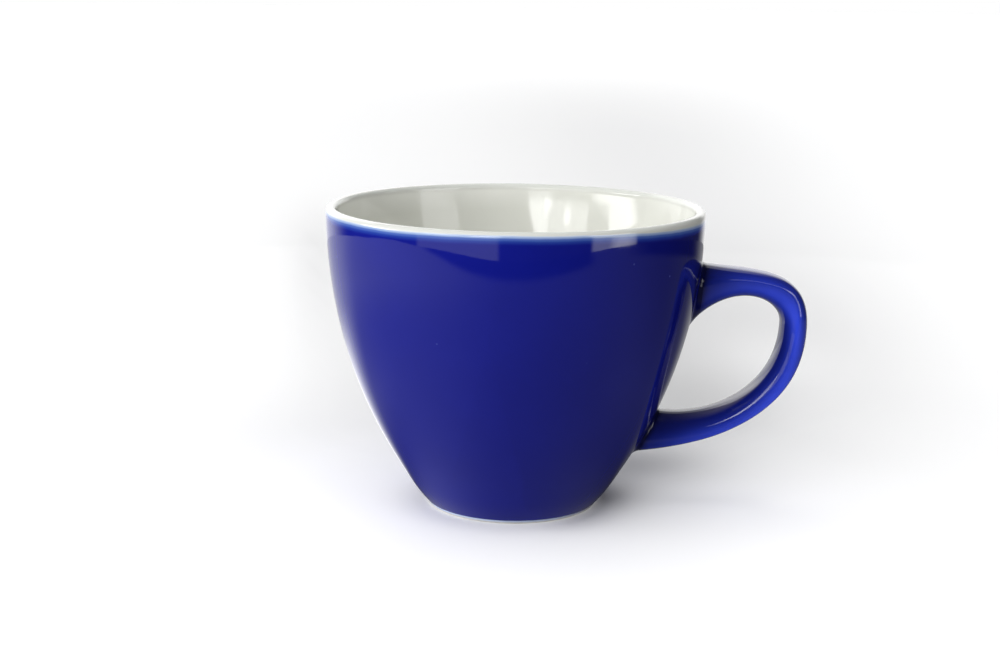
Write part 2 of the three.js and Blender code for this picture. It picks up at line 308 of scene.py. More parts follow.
class Bench:
    """Adds shader nodes to one material and joins their sockets."""

    def __init__(self, name: str) -> None:
        """Starts a material with one principled shader.

        Args:
            name: Name of the material.
        """
        self.material = bpy.data.materials.new(name)
        self.material.use_nodes = True
        self.tree = self.material.node_tree
        self.shader = self.tree.nodes["Principled BSDF"]
        self.place = self.tree.nodes.new("ShaderNodeTexCoord").outputs["Object"]

    def put(self, target: Socket, value: Value) -> None:
        """Joins a socket to the target, or sets a colour or a number on it.

        Args:
            target: Input of a node.
            value: What it takes.
        """
        if isinstance(value, Socket):
            self.tree.links.new(value, target)
        else:
            target.default_value = (*value, 1.0) if isinstance(value, tuple) else value

    def add(self, kind: str, values: dict[str | int, Value], **settings: str) -> bpy.types.ShaderNode:
        """Adds a node and fills it in.

        Args:
            kind: Blender's name for the kind of node.
            values: What each input takes, by its name or number.
            settings: Choices of the node itself.

        Returns:
            The new node.
        """
        node = self.tree.nodes.new(kind)
        for name, choice in settings.items():
            setattr(node, name, choice)
        for name, value in values.items():
            self.put(node.inputs[name], value)
        return node

    def shade(self, values: dict[str, Value]) -> None:
        """Fills inputs of the principled shader by their names."""
        for name, value in values.items():
            self.put(self.shader.inputs[name], value)

    def noise(self, noise: Noise) -> Socket:
        """Smooth noise over the piece's own space, from 0 to 1."""
        values = {"Scale": noise.scale, "Detail": noise.detail, "Roughness": noise.rough}
        return self.add("ShaderNodeTexNoise", {"Vector": self.place, **values}).outputs["Fac"]

    def pattern(self, noise: Noise, start: float = 0.0, end: float = 1.0) -> Socket:
        """Noise whose drawn-out levels run from start to end."""
        return self.span(self.noise(noise), noise.levels, start, end)

    def specks(self, scale: float, radius: float) -> Socket:
        """Small round spots, 1 at the middle of each cell and 0 outside a radius in cells."""
        node = self.add("ShaderNodeTexVoronoi", {"Vector": self.place, "Scale": scale})
        return self.span(node.outputs["Distance"], (radius, radius * SPECK_CORE))

    def measure(self, axis: str) -> Socket:
        """Distance along X, Y or Z in metres, from the part's origin on the table."""
        return self.add("ShaderNodeSeparateXYZ", {"Vector": self.place}).outputs[axis]

    def mark(self, name: str) -> Socket:
        """A named value that was laid on the mesh's points."""
        return self.add("ShaderNodeAttribute", {}, attribute_name=name).outputs["Fac"]

    def span(self, source: Socket, between: Span, start: float = 0.0, end: float = 1.0) -> Socket:
        """Maps a stretch of a value to start..end along a straight line, held at the ends."""
        values = {"From Min": between[0], "From Max": between[1], "To Min": start, "To Max": end}
        return self.add("ShaderNodeMapRange", {"Value": source, **values}).outputs["Result"]

    def math(self, kind: str, first: Socket, second: Socket) -> Socket:
        """Combines two values by one of Blender's operations."""
        return self.add("ShaderNodeMath", {0: first, 1: second}, operation=kind).outputs[0]

    def ramp(self, source: Socket, stops: Stops) -> Socket:
        """Colours a value by a row of stops, blended smoothly between them.

        Args:
            source: A value from 0 to 1.
            stops: Places from 0 to 1 with their colours.

        Returns:
            The colour.
        """
        node = self.add("ShaderNodeValToRGB", {"Fac": source})
        node.color_ramp.interpolation = "EASE"
        elements = node.color_ramp.elements
        for share, _ in stops[1:-1]:
            elements.new(share)
        for element, (share, colour) in zip(elements, stops):
            element.position = share
            element.color = (*colour, 1.0)
        return node.outputs["Color"]

    def mix(self, share: Socket, first: Socket | Colour, second: Socket | Colour) -> Socket:
        """Blends two colours by a share, from 0 for the first to 1 for the second."""
        values = {"Factor": share, MIX_FIRST: first, MIX_SECOND: second}
        return self.add("ShaderNodeMix", values, data_type="RGBA").outputs[MIX_RESULT]


@dataclass(frozen=True)
class Gloss:
    """How a finish shines: roughness between two limits, lustre, and the skin of its surface."""

    grain: Noise
    rough: Span
    skin: Noise
    skin_depth: float
    ior: float = 1.5
    specular: float = 0.5


@dataclass(frozen=True)
class Finish:
    """A procedural finish, with a colour that varies over the piece and a gloss."""

    gloss: Gloss

    def colour(self, bench: Bench) -> Socket:
        """Works out the colour at each point, which each kind of finish does in its own way."""
        raise NotImplementedError

    def material(self, name: str) -> Material:
        """Makes the material: its colour, an uneven gloss and a fine skin.

        Args:
            name: Name of the material.

        Returns:
            The new material.
        """
        bench, gloss = Bench(name), self.gloss
        height = {"Strength": 1.0, "Distance": gloss.skin_depth, "Height": bench.noise(gloss.skin)}
        bench.shade({
            "Base Color": self.colour(bench),
            "Roughness": bench.pattern(gloss.grain, *gloss.rough),
            "IOR": gloss.ior,
            "Specular IOR Level": gloss.specular,
            "Normal": bench.add("ShaderNodeBump", height).outputs["Normal"],
        })
        return bench.material


@dataclass(frozen=True)
class LipFade:
    """How the cobalt thins to white as it climbs over the brow of the lip."""

    rise: Span = (0.0758, 0.0785)
    wander: Noise = Noise(60.0, 3.0, levels=(0.0, 1.0))
    wander_height: float = 0.0007
    left: Span = (-0.014, -0.046)
    left_dip: float = 0.00035
    right: Span = (0.002, 0.032)
    right_dip: float = 0.00115
    stops: Stops = (
        (0.0, (0.006, 0.0105, 0.257)),
        (0.36, (0.018, 0.045, 0.360)),
        (0.62, (0.075, 0.150, 0.500)),
        (0.80, (0.340, 0.460, 0.740)),
        (1.0, (0.720, 0.760, 0.780)),
    )

    def share(self, bench: Bench) -> Socket:
        """How far up the fade a point lies, along a line that wanders and dips at both sides.

        Args:
            bench: The bench of the material.

        Returns:
            A value from 0 to 1.
        """
        side = bench.measure("X")
        left = bench.span(side, self.left, 0.0, self.left_dip)
        right = bench.span(side, self.right, 0.0, self.right_dip)
        drift = bench.pattern(self.wander, -self.wander_height / 2.0, self.wander_height / 2.0)
        height = bench.math("ADD", bench.measure("Z"), drift)
        return bench.span(bench.math("ADD", height, bench.math("ADD", left, right)), self.rise)


@dataclass(frozen=True)
class BlueGlaze(Finish):
    """Cobalt glaze: deep where it lies thick, and paler where it runs thin at the lip."""

    gloss: Gloss = Gloss(Noise(160.0), (0.02, 0.05), Noise(110.0, 2.0, 0.35), 2.2e-5, 1.47)
    deep: Colour = (0.0060, 0.0105, 0.265)
    thick: Colour = (0.0052, 0.0090, 0.240)
    # Painted shade: the wall is darkened towards the handle, standing in for the weaker light on that
    # side
    painted_shade: Colour = (0.0040, 0.0040, 0.066)
    speck: Colour = (0.050, 0.065, 0.360)
    mottle: Noise = Noise(38.0, 3.0, levels=(0.35, 0.65))
    pinholes: Span = (95.0, 0.034)
    fade: LipFade = LipFade()

    def colour(self, bench: Bench) -> Socket:
        """Soft mottling with a few pinholes, painted shade towards the handle and the blue running out
        over the lip.

        Args:
            bench: The bench of the material.

        Returns:
            The colour at each point.
        """
        coat = bench.mix(bench.pattern(self.mottle), self.deep, self.thick)
        # Painted shade towards the handle
        coat = bench.mix(bench.mark("painted_shade"), coat, self.painted_shade)
        coat = bench.mix(bench.specks(*self.pinholes), coat, self.speck)
        share, thinning = self.fade.share(bench), self.fade.stops[1][0]
        return bench.mix(bench.span(share, (0.0, thinning)), coat, bench.ramp(share, self.fade.stops))


@dataclass(frozen=True)
class HandleGlaze(BlueGlaze):
    """The same cobalt on the handle, made lighter by painted light over the outer side of the bow."""

    deep: Colour = (0.0040, 0.0075, 0.130)
    # Painted light: the bright blue where the bar faces the lit table below
    painted_light: Colour = (0.041, 0.082, 0.860)
    # Painted reflection: a pale lilac sheen on the lower limb's finger face, where the bright room
    # behind is mirrored
    painted_reflection: Colour = (0.185, 0.175, 0.260)
    pool: Colour = (0.0018, 0.0024, 0.034)
    mottle: Noise = Noise(55.0, 3.0)
    mottle_gain: Span = (0.88, 1.08)
    pinholes: Span = (120.0, 0.03)

    def colour(self, bench: Bench) -> Socket:
        """Deep to light by painted light, with mottling, a painted reflection on the lower limb, and
        nearly black at the roots.

        Args:
            bench: The bench of the material.

        Returns:
            The colour at each point.
        """
        mottle = bench.pattern(self.mottle, *self.mottle_gain)
        # Painted light: deep to light blue by the painted-light mark
        coat = bench.mix(bench.math("MULTIPLY", bench.mark("painted_light"), mottle), self.deep, self.painted_light)
        coat = bench.mix(bench.specks(*self.pinholes), coat, self.speck)
        # Painted reflection on the lower limb's finger face
        coat = bench.mix(bench.mark("painted_reflection"), coat, self.painted_reflection)
        return bench.mix(bench.mark("root"), coat, self.pool)


@dataclass(frozen=True)
class PooledGlaze(Finish):
    """Cobalt that ran into the coves at the handle's roots and pooled nearly black."""

    gloss: Gloss = Gloss(Noise(160.0), (0.08, 0.14), Noise(240.0), 2.5e-5, 1.47, 0.2)
    rim: Colour = (0.0055, 0.0095, 0.240)
    pool: Colour = (0.0018, 0.0024, 0.034)
    mottle: Noise = Noise(220.0, levels=(0.2, 0.6))
    mottle_gain: Span = (0.8, 1.0)

    def colour(self, bench: Bench) -> Socket:
        """Darkest along the middle of the cove, with mottling."""
        mottle = bench.pattern(self.mottle, *self.mottle_gain)
        return bench.mix(bench.math("MULTIPLY", bench.mark("pool"), mottle), self.rim, self.pool)


@dataclass(frozen=True)
class WhiteGlaze(Finish):
    """Clear glossy glaze over white clay, faintly warm, with the thinning blue outside the lip."""

    gloss: Gloss = Gloss(Noise(140.0), (0.015, 0.035), Noise(120.0, 2.0, 0.35), 2.5e-5)
    warm: Colour = (0.745, 0.750, 0.692)
    clear: Colour = (0.775, 0.782, 0.728)
    # Painted light: whiter under the lip inside and on the lip's right end
    brow: Colour = (0.865, 0.870, 0.820)
    # Painted shade: a darker crest that tones down the lip's highlight
    crest: Colour = (0.675, 0.685, 0.645)
    mottle: Noise = Noise(30.0, 3.0, levels=(0.35, 0.65))
    painted_light_rise: Span = (0.0720, 0.0765)
    painted_light_left: Span = (0.000, -0.020)
    painted_light_right: Span = (0.020, 0.027)
    painted_light_right_share: float = 0.8
    painted_crest_shade_rise: Span = (0.0772, 0.0784)
    fade: LipFade = LipFade()
    fade_end: Span = (1.0, 0.9)

    def colour(self, bench: Bench) -> Socket:
        """Soft mottling, painted light under the lip at both sides, painted shade on the crest, with the
        thinning blue outside.

        Args:
            bench: The bench of the material.

        Returns:
            The colour at each point.
        """
        height, side = bench.measure("Z"), bench.measure("X")
        # Painted light under the lip at both sides
        right = bench.span(side, self.painted_light_right, 0.0, self.painted_light_right_share)
        sides = bench.math("ADD", bench.span(side, self.painted_light_left), right)
        brow = bench.math("MULTIPLY", bench.span(height, self.painted_light_rise), sides)
        coat = bench.mix(bench.pattern(self.mottle), self.warm, self.clear)
        coat = bench.mix(brow, coat, self.brow)
        # Painted shade on the crest
        coat = bench.mix(bench.span(height, self.painted_crest_shade_rise), coat, self.crest)
        share = self.fade.share(bench)
        outside = bench.math("MULTIPLY", bench.mark("outside"), bench.span(share, self.fade_end))
        return bench.mix(outside, coat, bench.ramp(share, self.fade.stops))


@dataclass(frozen=True)
class BarePorcelain(Finish):
    """Fired white clay without glaze: matt, very fine grained, with a blue wash round the foot."""

    gloss: Gloss = Gloss(Noise(900.0), (0.55, 0.75), Noise(2600.0, 3.0), 4.0e-5)
    clean: Colour = (0.820, 0.800, 0.760)
    stained: Colour = (0.700, 0.670, 0.620)
    wash: Colour = (0.450, 0.560, 0.850)
    # Painted shadow: the foot's wash greys towards the handle
    shade: Colour = (0.300, 0.315, 0.380)
    stain: Noise = Noise(260.0, 4.0, 0.6, (0.45, 0.75))
    wash_rise: Span = (0.0002, 0.0009)
    wash_end: Span = (0.0024, 0.0018)
    foot_shadow_turn: Span = (-0.003, 0.006)

    def colour(self, bench: Bench) -> Socket:
        """White clay with stained grains, and a wash round the foot, greyed towards the handle by
        painted shadow.

        Args:
            bench: The bench of the material.

        Returns:
            The colour at each point.
        """
        height = bench.measure("Z")
        above, below = bench.span(height, self.wash_rise), bench.span(height, self.wash_end)
        # Painted shadow on the wash towards the handle
        wash = bench.mix(bench.span(bench.measure("X"), self.foot_shadow_turn), self.wash, self.shade)
        clay = bench.mix(bench.pattern(self.stain), self.clean, self.stained)
        return bench.mix(bench.math("MULTIPLY", above, below), clay, wash)


@dataclass
class Cup:
    """The thrown cup: clay with a bare foot, a white coat inside and a blue coat outside."""

    height: float = 79.0
    rim_radius: float = 49.0
    lip: float = 2.8
    foot_radius: float = 22.7
    foot_bare: float = 1.2
    wall_at_foot: float = 5.4
    lip_taper: float = 30.0
    taper_power: float = 1.6
    floor: float = 4.8
    floor_fillet: float = 7.0
    lean_at_foot: float = 38.7
    lean_at_rim: float = 0.5
    arm_at_foot: float = 27.7
    arm_at_rim: float = 28.5
    foot_round: float = 0.8
    recess_depth: float = 1.8
    ring_width: float = 3.6
    ring_round: float = 0.35
    recess_flare: float = 0.9
    recess_gap: float = 0.15
    recess_bed: float = 0.02
    coat: float = 0.4
    coat_bed: float = 0.1
    lip_white: float = 1.5
    foot_step: float = 0.18
    bare_share: float = 0.02
    # Width in degrees of the painted shade towards the handle
    painted_shade_fade: float = 41.0
    belly: float = 0.32
    belly_height: float = 4.5
    belly_fade: float = 4.5
    innermost: float = 0.4
    around: int = 240
    wall_rows: int = 120
    lip_rows: int = 24
    seam_rows: int = 14
    fillet_rows: int = 28
    floor_rows: int = 12
    recess_rows: int = 10
    edge_rows: int = 9
    ring_rows: int = 6
    roll_rows: int = 8
    wall: Curve = field(init=False)
    heights: Points = field(init=False)
    radii: Points = field(init=False)

    def __post_init__(self) -> None:
        """Lays out the wall's curve from the foot to the lip, and a fine table of its radius."""
        foot = np.array([self.foot_radius, self.foot_bare])
        brow = np.array([self.rim_radius, self.height - self.lip / 2.0])
        arm_low = foot + self.arm_at_foot * leaning(self.lean_at_foot)
        arm_high = brow - self.arm_at_rim * leaning(self.lean_at_rim)
        self.wall = Curve(np.array([foot, arm_low, arm_high, brow]))
        self.radii, self.heights = self.wall.sampled()[0].T

    @property
    def seam(self) -> float:
        """Share of the wall's curve at which the blue coat meets the white one."""
        shares = np.linspace(0.0, 1.0, CURVE_SAMPLES)
        return float(np.interp(self.height - self.lip_white, self.heights, shares))

    @property
    def ring_inner(self) -> float:
        """Inner radius of the flat ring that the cup stands on."""
        return self.foot_radius - self.foot_step - self.foot_round - self.ring_width

    def radius_at(self, height: Points) -> Points:
        """Radius of the glazed wall at a height, read from the fine table."""
        return np.interp(height, self.heights, self.radii)

    def outside(self, t: Points, depth: float = 0.0) -> Points:
        """The wall's curve with a slight belly of glaze, a bell curve of the height near the foot.

        Args:
            t: Shares of the wall's curve.
            depth: How far the curve is set back from its glazed face along its normal.

        Returns:
            Section points of the outer face.
        """
        points = self.wall.points(t)
        belly = self.belly * bell(points[:, 1] - self.belly_height, self.belly_fade)
        return points + (belly - depth)[:, None] * self.wall.normals(t)

    def inside(self, t: Points, depth: float = 0.0) -> Points:
        """The inner face of the wall: the outer one less a thickness that thins towards the lip.

        With d the drop below the brow as a share of the taper, at most 1, the thickness is the lip's
        plus the rest of the wall's times 1 - (1 - d)^p, with p the taper's power.

        Args:
            t: Shares of the wall's curve.
            depth: How far the curve is sunk below the glazed face.

        Returns:
            Section points of the inner face.
        """
        points = self.wall.points(t)
        drop = np.clip((self.heights[-1] - points[:, 1]) / self.lip_taper, 0.0, 1.0)
        taper = 1.0 - (1.0 - drop) ** self.taper_power
        thickness = self.lip + (self.wall_at_foot - self.lip) * taper
        return points - (thickness - depth)[:, None] * self.wall.normals(t)

    def lip_curve(self, depth: float = 0.0) -> Points:
        """Half a circle over the lip.

        Args:
            depth: How far the curve is sunk below the glazed face.

        Returns:
            Section points from the outer face to the inner one.
        """
        half = self.lip / 2.0
        middle = (self.rim_radius - half, self.height - half)
        return arc(middle, half - depth, (0.0, 180.0), self.lip_rows)

    def bowl(self, depth: float = 0.0) -> Points:
        """The inside from the lip down: the wall, a quadratic fillet and the flat floor.

        Args:
            depth: How far the curve is sunk below the glazed face.

        Returns:
            Section points from just under the lip to close by the axis.
        """
        level = self.recess_depth + self.floor
        fine = np.linspace(0.0, 1.0, CURVE_SAMPLES)
        top = np.interp([level + self.floor_fillet], self.inside(fine)[:, 1], fine)
        wall = self.inside(np.linspace(1.0, top[0], self.wall_rows), depth)
        start, tangent = self.inside(top)[0], -self.wall.tangents(top)[0]
        reach = (start[1] - level) / -tangent[1]
        corner = start + reach * tangent
        end = np.array([corner[0] - reach, level])
        s = np.linspace(0.0, 1.0, self.fillet_rows)[:, None]
        slope = (1 - s) * (corner - start) + s * (end - corner)
        fillet = quadratic(start, corner, end, s) - depth * clockwise(unit(slope))
        flat = np.linspace(fillet[-1, 0], self.innermost, self.floor_rows)[1:]
        return np.vstack([wall[1:], fillet[1:], level_line(flat, fillet[-1, 1])])

    def foot(self) -> Points:
        """The underside: a recess with a flared wall, a flat ring and rounded edges.

        Returns:
            Section points from close by the axis out to the bare side of the foot.
        """
        inner, small, large = self.ring_inner, self.ring_round, self.foot_round
        under = np.linspace(self.innermost, inner - self.recess_flare, self.recess_rows)
        inner_edge = arc((inner + small, small), small, (180.0, 270.0), self.ring_rows)
        middle = (self.foot_radius - self.foot_step - large, large)
        outer_edge = arc(middle, large, (-90.0, 0.0), self.edge_rows)
        return np.vstack([level_line(under, self.recess_depth), inner_edge, outer_edge])

    def build_clay(self) -> Piece:
        """Turns the clay: foot, wall, lip and bowl, sunk under the coats but bare at the foot.

        Returns:
            The closed clay.
        """
        sunk = self.coat + self.coat_bed
        t = np.linspace(0.0, 1.0, self.wall_rows)
        depth = np.where(t < self.bare_share, self.foot_step, sunk)
        wall = self.wall.points(t) - depth[:, None] * self.wall.normals(t)
        profile = np.vstack([self.foot(), wall, self.lip_curve(sunk)[1:-1], self.bowl(sunk)])
        return skin("cup_clay", revolve(profile, self.around), Closing.FANS)

    def build_white_coat(self) -> Piece:
        """Turns the white coat: up the bowl, over the lip and down to where the blue begins.

        Returns:
            The closed coat, marked where it lies outside the lip's middle.
        """
        t = np.linspace(self.seam, 1.0, self.seam_rows)[:-1]
        under, face = (
            np.vstack([self.outside(t, depth), self.lip_curve(depth), self.bowl(depth)])
            for depth in (self.coat, 0.0)
        )
        profile = np.vstack([under[::-1], face])
        marks = {"outside": (profile[:, :1] > self.rim_radius - self.lip / 2.0).astype(float)}
        return skin("white_coat", revolve(profile, self.around), Closing.FANS, marks)

    def build_blue_coat(self) -> Piece:
        """Turns the blue coat: the wall's curve with a rolled lower edge, closed behind.

        It is marked with painted shade towards the handle, by a bell curve of the angle round the axis.

        Returns:
            The closed coat.
        """
        t, half = np.linspace(0.0, self.seam, self.wall_rows), self.coat / 2.0
        turn = np.linspace(0.0, np.pi, self.roll_rows)[1:-1, None]
        step = np.sin(turn) * self.wall.tangents(t[:1]) + np.cos(turn) * self.wall.normals(t[:1])
        roll = self.outside(t[:1], half) - half * step
        profile = np.vstack([roll, self.outside(t), self.outside(t[::-2], self.coat)])
        rings = revolve(profile, self.around)
        off_handle = np.degrees(np.arctan2(rings[..., 1], rings[..., 0]))
        return skin("blue_coat", rings, Closing.LOOP, {"painted_shade": bell(off_handle, self.painted_shade_fade)})

    def build_recess_coat(self) -> Piece:
        """Turns the thin white dish in the foot's recess, with a rounded edge.

        Returns:
            The closed dish, with no part of it marked as outside.
        """
        half, top = self.coat / 2.0, self.recess_depth + self.recess_bed
        edge = self.ring_inner - self.recess_flare - self.recess_gap - half
        flat = np.linspace(self.innermost, edge, self.floor_rows)[:-1]
        roll = arc((edge, top - half), half, (-90.0, 90.0), self.edge_rows)
        profile = np.vstack([level_line(flat, top - self.coat), roll, level_line(flat[::-1], top)])
        marks = {"outside": np.zeros((1, 1))}
        return skin("recess_coat", revolve(profile, self.around), Closing.FANS, marks)

    def dress(self) -> None:
        """Builds the cup's four pieces and gives each its finish."""
        white = WhiteGlaze().material("white_glaze")
        settle(self.build_clay(), BarePorcelain().material("bare_porcelain"), "porcelain", "cup_body")
        settle(self.build_white_coat(), white, "white_glaze", "inside_glaze")
        settle(self.build_blue_coat(), BlueGlaze().material("blue_glaze"), "blue_glaze", "wall_glaze")
        settle(self.build_recess_coat(), white, "white_glaze", "recess_glaze")


@dataclass
class Handle:
    """The ear-shaped handle: an oval bar between two guide edges, with flared, coved roots.

    Places along the bar run from 0 at the upper root through 1 at the knee to 2 at the lower root.
    """

    cup: Cup
    upper_drop: float = 14.3
    upper_height: float = 16.4
    upper_width: float = 16.0
    lower_rise: float = 14.2
    lower_height: float = 11.2
    lower_width: float = 16.0
    root_flare: float = 9.0
    reach: float = 27.6
    bar: float = 6.9
    width: float = 13.5
    knee_share: float = 0.67
    finger_knee_lift: float = 1.0
    finger_powers: Span = (2.0, 2.6)
    back_powers: Span = (1.6, 2.0)
    ridge: tuple[Drift, ...] = (
        Drift(0.33, 0.42, 0.4, 0.7),
        Drift(0.0, -0.42, 0.7, 1.12),
        Drift(0.0, 0.30, 1.34, 1.7),
    )
    finger_lead: float = 1.7
    back_slopes: Span = (-7.0, 5.2)
    finger_slopes: Span = (49.6, -12.4)
    back_full: Shares = (0.6, 0.94, 0.54, 0.69)
    finger_full: Shares = (0.71, 0.285, 0.88, 0.337)
    coat: float = 0.4
    coat_bed: float = 0.05
    seat_fade: float = 6.0
    cove: float = 1.7
    cove_bed: float = 0.03
    cove_back: float = 0.35
    pool_rise: Span = (0.0, 0.45)
    pool_core: float = 0.8
    pool_fade: float = 1.2
    # Where the painted light lies along the bar, and the painted shade towards the roots
    painted_light_band: Drift = Drift(-0.26, 0.80, 0.6, 1.7)
    painted_light_inner: Drift = Drift(0.57, 0.77, 1.1, 1.4)
    painted_light_outer: Drift = Drift(0.76, 0.60, 0.9, 1.2)
    painted_light_least: float = 0.06
    painted_light_gain: Drift = Drift(0.90, 0.96, 0.9, 1.3)
    painted_root_shade_reach: Drift = Drift(8.0, 12.0, 1.0, 1.6)
    painted_root_shade_share: float = 0.75
    # Where the painted reflection lies on the lower limb's finger face
    painted_reflection_edge: Drift = Drift(-0.82, -0.56, 1.38, 1.7)
    painted_reflection_full: float = -0.96
    painted_reflection_start: Drift = Drift(0.0, 1.0, 1.30, 1.42)
    painted_reflection_end: Drift = Drift(1.0, 0.15, 1.45, 1.95)
    sunk: float = 0.3
    sides: int = 96
    rows: int = 110
    cove_rows: int = 20
    back: tuple[Curve, Curve] = field(init=False)
    finger: tuple[Curve, Curve] = field(init=False)

    def __post_init__(self) -> None:
        """Lays out the back edge and the finger edge, each in two curves that meet at the knee."""
        top, bottom = self.cup.height - self.upper_drop, self.lower_rise
        knee = np.array([self.cup.rim_radius + self.reach, bottom + self.knee_share * (top - bottom)])
        inner_knee = knee + np.array([-self.bar, self.finger_knee_lift])
        start, end = self.on_wall(top), self.on_wall(bottom)
        inner_start = self.on_wall(top - self.upper_height)
        inner_end = self.on_wall(bottom + self.lower_height)
        rise = self.back_full[1] * (start[1] - knee[1])
        inner_rise = self.finger_full[1] * (inner_knee[0] - inner_start[0])
        self.back = self.guide((start, knee, end), self.back_slopes, self.back_full, rise)
        self.finger = self.guide(
            (inner_start, inner_knee, inner_end), self.finger_slopes, self.finger_full, inner_rise
        )

    def on_wall(self, height: float) -> Points:
        """The point of the wall's section at a height."""
        return np.array([float(self.cup.radius_at(height)), height])

    @staticmethod
    def guide(
        stations: tuple[Points, Points, Points], slopes: Span, full: Shares, rise: float
    ) -> tuple[Curve, Curve]:
        """The two curves of a guide edge, upright at the knee.

        Args:
            stations: Where the edge leaves the wall, its furthest point and where it comes back.
            slopes: Slope in degrees at the start and at the end.
            full: How far each arm of the curves carries, as shares of the run along it. The second
                one, at the knee's upper side, is already in rise.
            rise: How far the knee's upright direction carries upwards.

        Returns:
            The upper curve and the lower one.
        """
        start, knee, end = stations
        leave = start + full[0] * (knee[0] - start[0]) * sloping(slopes[0])
        arrive = end + full[3] * (knee[0] - end[0]) * sloping(slopes[1])
        fall = np.array([0.0, full[2] * (knee[1] - end[1])])
        upper = np.array([start, leave, knee + np.array([0.0, rise]), knee])
        return Curve(upper), Curve(np.array([knee, knee - fall, arrive, end]))

    def rings(self, root: Root, shares: Points, grow: float = 0.0) -> Points:
        """Oval rings across one half of the bar, bedded to the wall's round near the root.

        Each ring spans a back point and a finger point at the same share of their curves, with
        the finger point led on near the upper root, and has the bar's outline. The width swells by
        a bell curve towards the root, and the ring slips back by the wall's own sagitta.

        Args:
            root: Which half: from the upper root to the knee, or from the knee to the lower root.
            shares: Shares of the half's length.
            grow: How far the rings stand outside the glazed face.

        Returns:
            Grid of points, one ring for each share.
        """
        half = root.value
        lead = self.finger_lead * shares * (1.0 - shares) ** 2 if root is Root.UPPER else 0.0
        back = self.back[half].along(shares)
        finger = self.finger[half].along(shares + lead)
        run = (shares if root is Root.UPPER else 1.0 - shares) * self.half_length(root)
        root_width = self.upper_width if root is Root.UPPER else self.lower_width
        flare = bell(run, self.root_flare)
        half_width = (self.width + (root_width - self.width) * flare)[:, None] / 2.0 + grow
        middle, arm = (back + finger) / 2.0, (back - finger) / 2.0
        arm = arm * (1.0 + grow / np.linalg.norm(arm, axis=1, keepdims=True))
        lengthwise, crosswise = self.outline((shares + half)[:, None])
        x = middle[:, :1] + arm[:, :1] * lengthwise
        y = half_width * crosswise
        z = middle[:, 1:] + arm[:, 1:] * lengthwise
        radius = self.cup.radius_at(z)
        slip = bell(run, self.seat_fade)[:, None] * (np.sqrt(radius**2 - y**2) - radius)
        return np.stack([x + slip, y, z], axis=-1)

    def outline(self, place: Points) -> tuple[Points, Points]:
        """Points of the bar's oval, |x|^p + |y|^q = 1, which is flatter on the finger side.

        They are powers of the cosine and sine of an angle. The first is then shifted towards the
        back by a share of the second's square, which raises a soft ridge on each face. The share is
        largest above the bow, nothing below it and grows again along the lower limb.

        Args:
            place: Column of places along the bar.

        Returns:
            Coordinates along the span, for each place, and across it.
        """
        angle = np.linspace(0.0, 2.0 * np.pi, self.sides, endpoint=False)
        along, across = np.cos(angle), np.sin(angle)
        powers = np.where(along[:, None] >= 0.0, self.back_powers, self.finger_powers)
        lengthwise = np.sign(along) * np.abs(along) ** (2.0 / powers[:, 0])
        crosswise = np.sign(across) * np.abs(across) ** (2.0 / powers[:, 1])
        shift = sum(drift.at(place) for drift in self.ridge)
        return lengthwise + shift * crosswise**2, crosswise

    def half_length(self, root: Root) -> float:
        """Mean length of the two guide edges over one half of the bar."""
        return (self.back[root.value].length() + self.finger[root.value].length()) / 2.0

    def root_ring(self, root: Root, grow: float, lift: float) -> Points:
        """The root's outline on the wall.

        Args:
            root: Which root.
            grow: How far the outline is grown along the wall.
            lift: How far it is lifted off the wall.

        Returns:
            One ring of points.
        """
        ring = self.rings(root, np.array([float(root.value)]), grow)[0]
        radius = self.cup.radius_at(ring[:, 2]) + lift
        return np.stack([np.sqrt(radius**2 - ring[:, 1] ** 2), ring[:, 1], ring[:, 2]], axis=-1)

    def bar_rings(self, grow: float) -> Points:
        """All rings of the bar from root to root, with both ends sunk a little into the wall.

        Args:
            grow: How far the rings stand outside the glazed face.

        Returns:
            Grid of points, one row for each ring.
        """
        share = np.linspace(0.0, 1.0, self.rows)
        halves = self.rings(Root.UPPER, share, grow), self.rings(Root.LOWER, share[1:], grow)
        head, tail = (self.root_ring(root, grow, -self.sunk)[None] for root in Root)
        return np.vstack([head, *halves, tail])

    def build_clay(self) -> Piece:
        """Lofts the clay bar inside the coat."""
        return skin("handle_clay", self.bar_rings(-self.coat - self.coat_bed), Closing.FANS)

    def build_coat(self) -> Piece:
        """Lofts the blue sleeve: the bar's face and, behind it, its underside.

        Returns:
            The closed sleeve, marked by its pooling and by its painted light, shade and reflection.
        """
        rings = np.vstack([self.bar_rings(0.0), self.bar_rings(-self.coat)[::-1]])
        marks = {name: np.vstack([value, value[::-1]]) for name, value in self.coat_marks().items()}
        return skin("handle_coat", rings, Closing.LOOP, marks)

    def coat_marks(self) -> dict[str, Points]:
        """How the coat is coloured on each point of the bar.

        Near each root it pools by a bell curve of the run from the root. Elsewhere painted light is
        strongest along a band that winds from the finger side of the upper limb to the back of the
        lower one, and it weakens to both sides of the band by bell curves of their own widths. A wider
        bell curve lays painted shade towards both roots. On the lower limb a painted reflection lies on
        the finger face.

        Returns:
            Values from 0 to 1, keyed by name, for the pooling, the painted light and the painted
            reflection.
        """
        share = np.linspace(0.0, 1.0, self.rows)
        down = share * self.half_length(Root.UPPER)
        up = (1.0 - share[1:]) * self.half_length(Root.LOWER)
        run = np.concatenate([[0.0], down, up, [0.0]])[:, None]
        place = np.concatenate([[0.0], share, 1.0 + share[1:], [2.0]])[:, None]
        side = self.outline(place)[0]
        off_band = side - self.painted_light_band.at(place)
        width = np.where(off_band < 0.0, self.painted_light_inner.at(place), self.painted_light_outer.at(place))
        # Painted light along a winding band, with painted shade towards both roots
        painted_light = self.painted_light_least + self.painted_light_gain.at(place) * bell(off_band, width)
